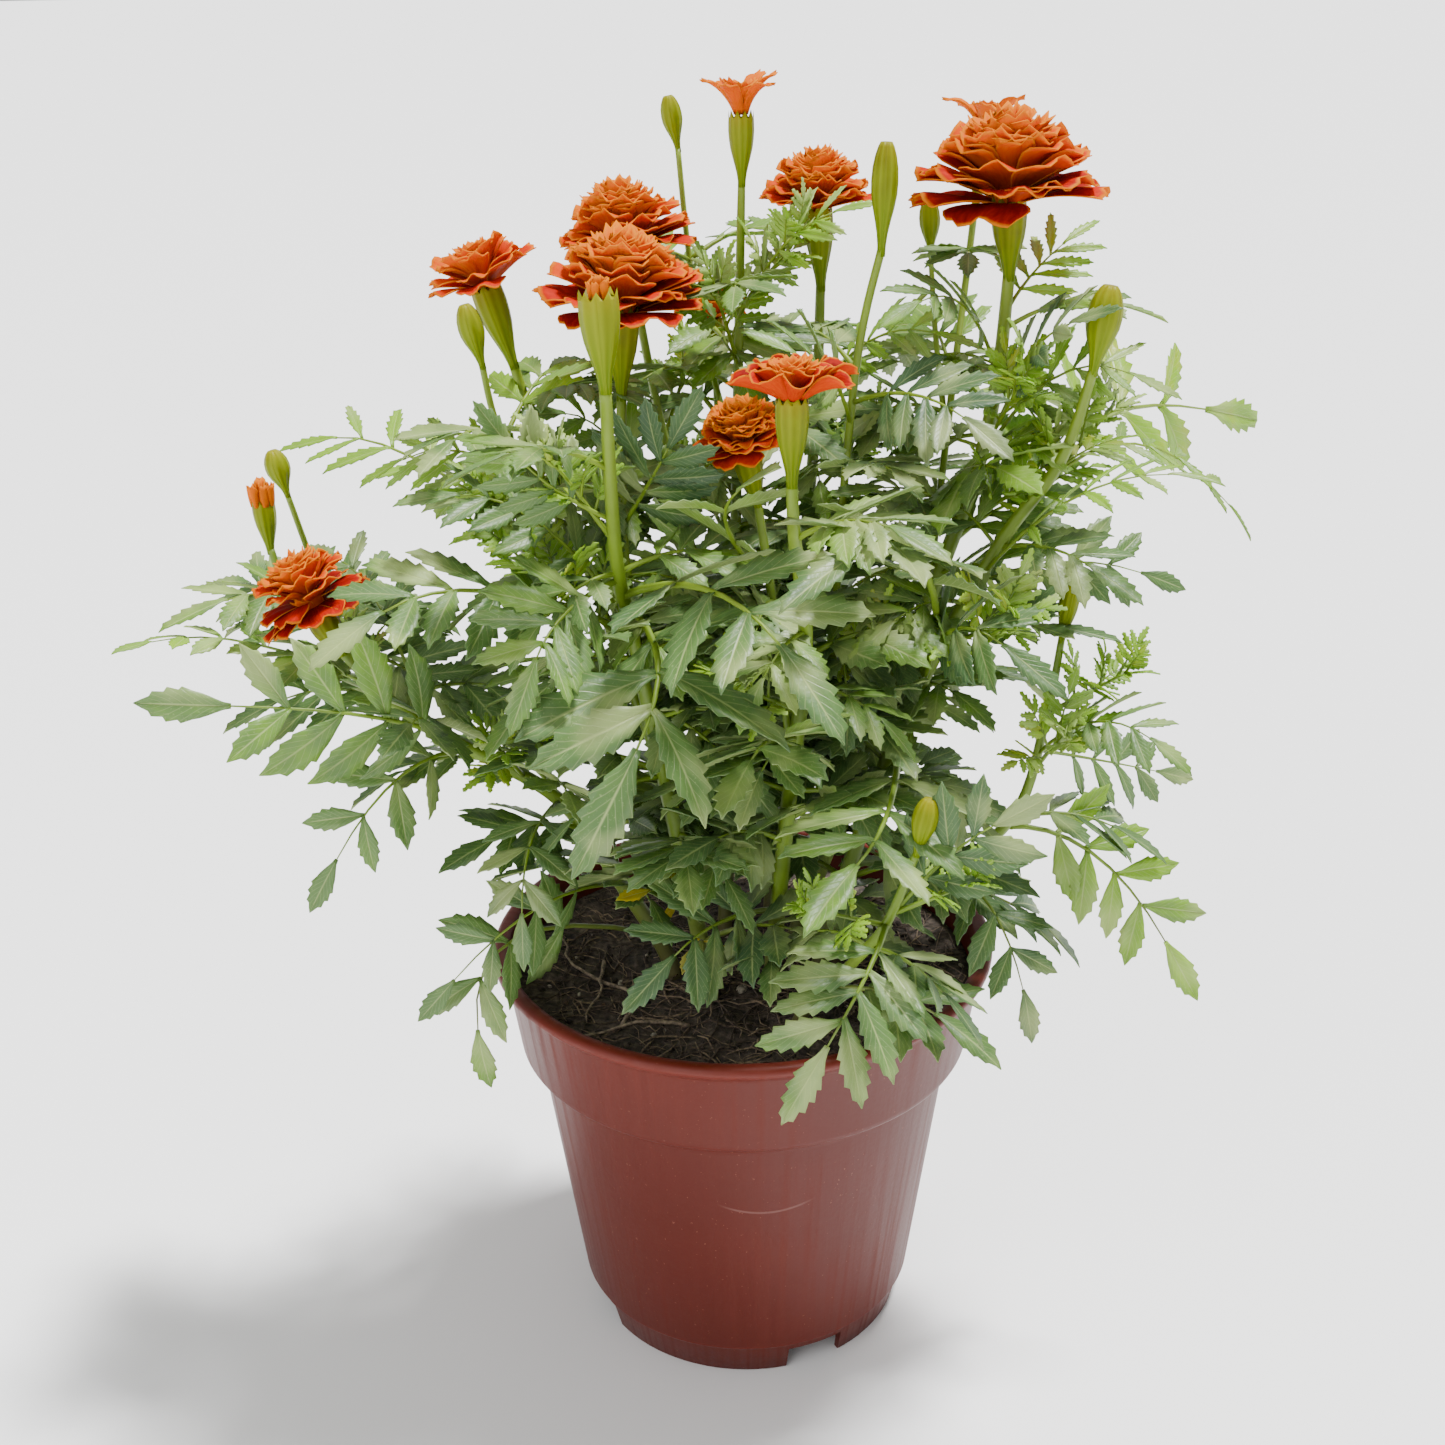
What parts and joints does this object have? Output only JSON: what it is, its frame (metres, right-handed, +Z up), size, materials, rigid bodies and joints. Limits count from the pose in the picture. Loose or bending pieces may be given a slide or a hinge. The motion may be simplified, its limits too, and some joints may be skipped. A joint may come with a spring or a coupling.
{
  "type": "potted marigold",
  "caption": "Potted flowering plant: leafy branching stems with crested double blooms and buds, standing in soil in a tapered pot with a rolled rim and a notched foot.",
  "frame": {"origin": "centre of the bounding box at the ground, within about 1 mm of the pot's axis", "axes": "+Z up along the pot's axis, -Y towards the viewer of the picture, +X to the viewer's right"},
  "size_m": [0.3707, 0.2444, 0.415],
  "materials": {
    "pot": "smooth matte moulded plastic with a slight sheen on the lip and foot",
    "soil": "rough dark fibrous potting soil",
    "foliage": "satin green leaves and ribbed stems",
    "petals": "soft velvety orange and red petals with pale edges"
  },
  "bodies": {
    "root": {"pot": "pot", "soil": "soil", "stem_left": "foliage", "stem_front_left": "foliage", "stem_back": "foliage", "stem_front": "foliage", "stem_right": "foliage", "stem_back_right": "foliage", "stem_low_right": "foliage", "stem_upper_right": "foliage", "stem_low_front": "foliage", "flower_top_right": "petals", "flower_front_double": "petals", "flower_back_double": "petals", "flower_back_right": "petals", "flower_tilted": "petals", "flower_front": "petals", "flower_front_second": "petals", "flower_left": "petals", "flower_back_low": "petals", "flower_opening_top": "petals", "flower_opening_right": "petals", "flower_opening_left": "petals", "flower_closed_front": "petals"}
  },
  "joints": []
}
